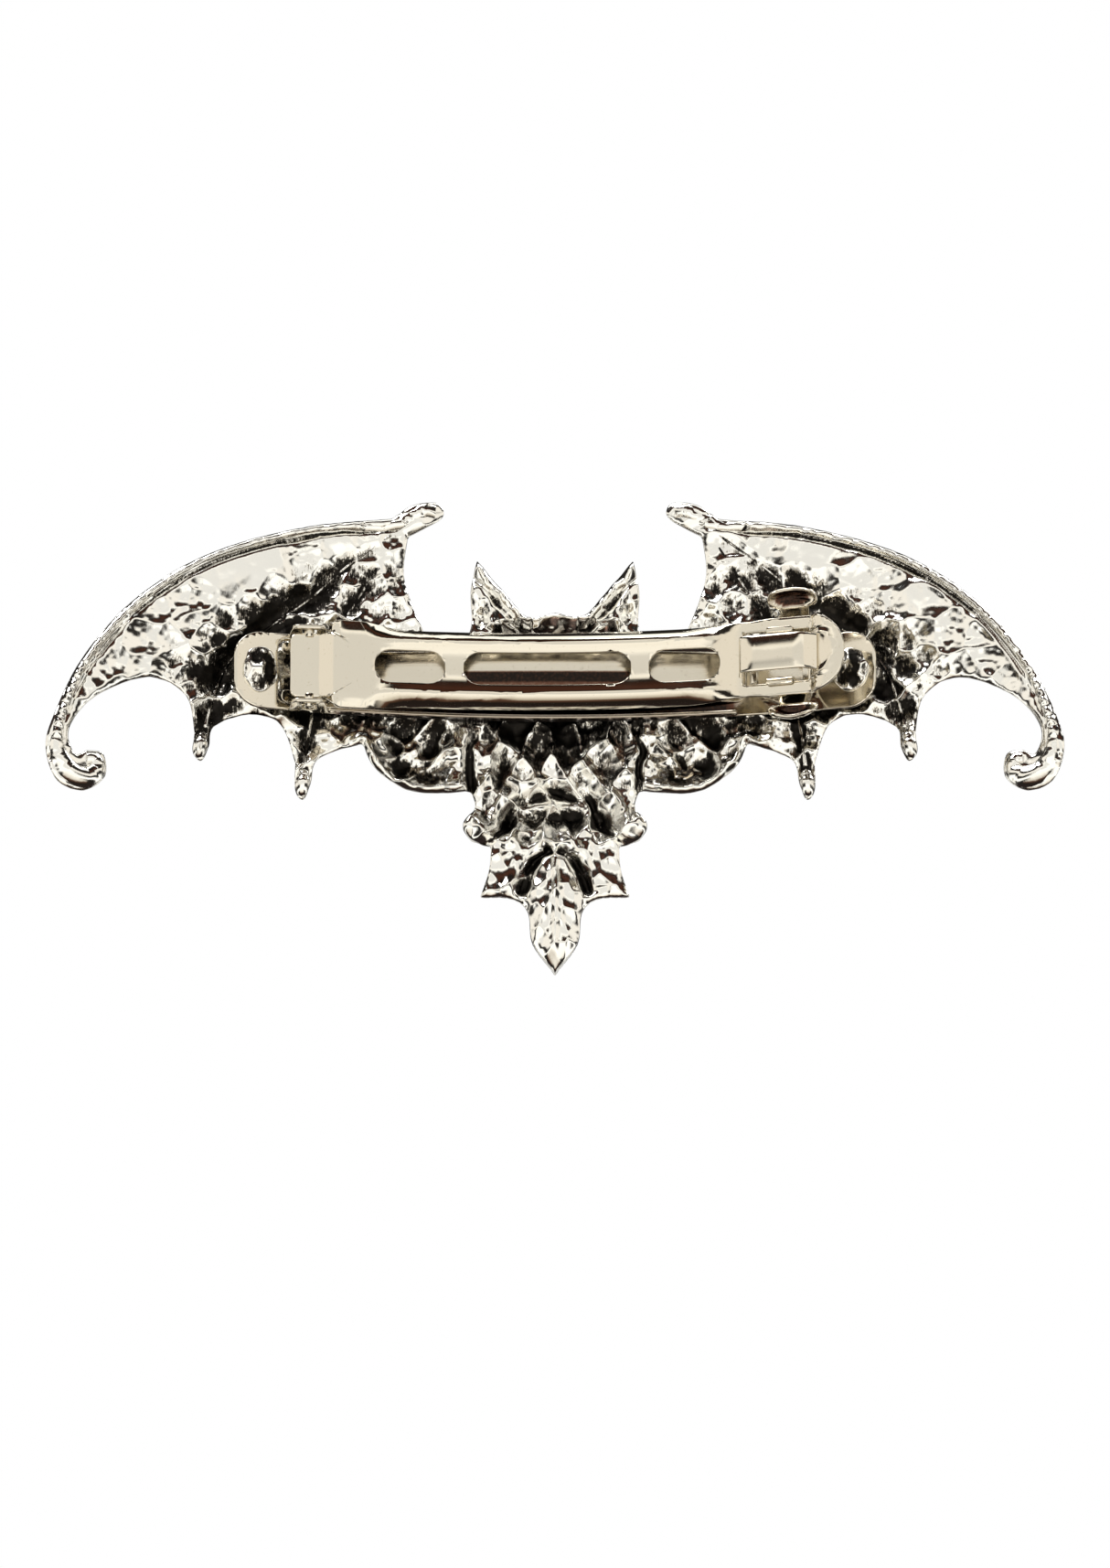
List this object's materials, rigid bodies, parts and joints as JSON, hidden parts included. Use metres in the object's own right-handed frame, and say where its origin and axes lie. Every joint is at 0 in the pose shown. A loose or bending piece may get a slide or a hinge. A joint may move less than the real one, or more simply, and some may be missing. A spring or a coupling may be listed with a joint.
{
  "type": "hair barrette",
  "caption": "Sprung barrette: bowed clip bar with a hinged slotted arm, pinch catch and bowed tension spring, carried on a cast bat ornament.",
  "frame": {"origin": "middle of the space where the hair lies, between the base bar and the arm at mid-length", "axes": "+X along the clip towards the catch, +Z towards the top of the ornament as worn, +Y outwards from the hair, the side that shows"},
  "size_m": [0.126, 0.0232, 0.0608],
  "materials": {
    "antique_silver": "cast silver plate with blackened recesses",
    "nickel_plate": "bright nickel plate",
    "spring_steel": "plated spring steel"
  },
  "bodies": {
    "base": {"bat_ornament": "antique_silver", "base_bar": "nickel_plate", "catch_foot": "spring_steel"},
    "arm": {"clasp_arm": "nickel_plate"},
    "spring": {"tension_spring": "spring_steel"},
    "leg_upper": {"catch_leg_upper": "spring_steel"},
    "leg_lower": {"catch_leg_lower": "spring_steel"}
  },
  "joints": [
    {"name": "arm_hinge", "type": "hinge", "parent": "base", "child": "arm", "pos_m": [-0.0306, -0.00487, 0], "axis": [0, 0, -1], "range_deg": [0, 75]},
    {"name": "catch_pinch", "type": "hinge", "parent": "base", "child": "leg_upper", "pos_m": [0.02814, -0.00109, 0.0023], "axis": [0.9511, -0.309, 0], "range_deg": [0, 5.5], "stiffness_Nm_per_rad": 0.05},
    {"name": "catch_pinch_lower", "type": "hinge", "parent": "base", "child": "leg_lower", "pos_m": [0.02814, -0.00109, -0.0023], "axis": [-0.9511, 0.309, 0], "range_deg": [0, 5.5], "stiffness_Nm_per_rad": 0.05},
    {"name": "tension_flex", "type": "slide", "parent": "base", "child": "spring", "axis": [0, 1, 0], "range_m": [0, 0.0015], "stiffness_N_per_m": 2000, "deforming": ["tension_spring"]}
  ],
  "couplings": [
    {"joint": "catch_pinch_lower", "follows": "catch_pinch", "ratio": 1}
  ]
}
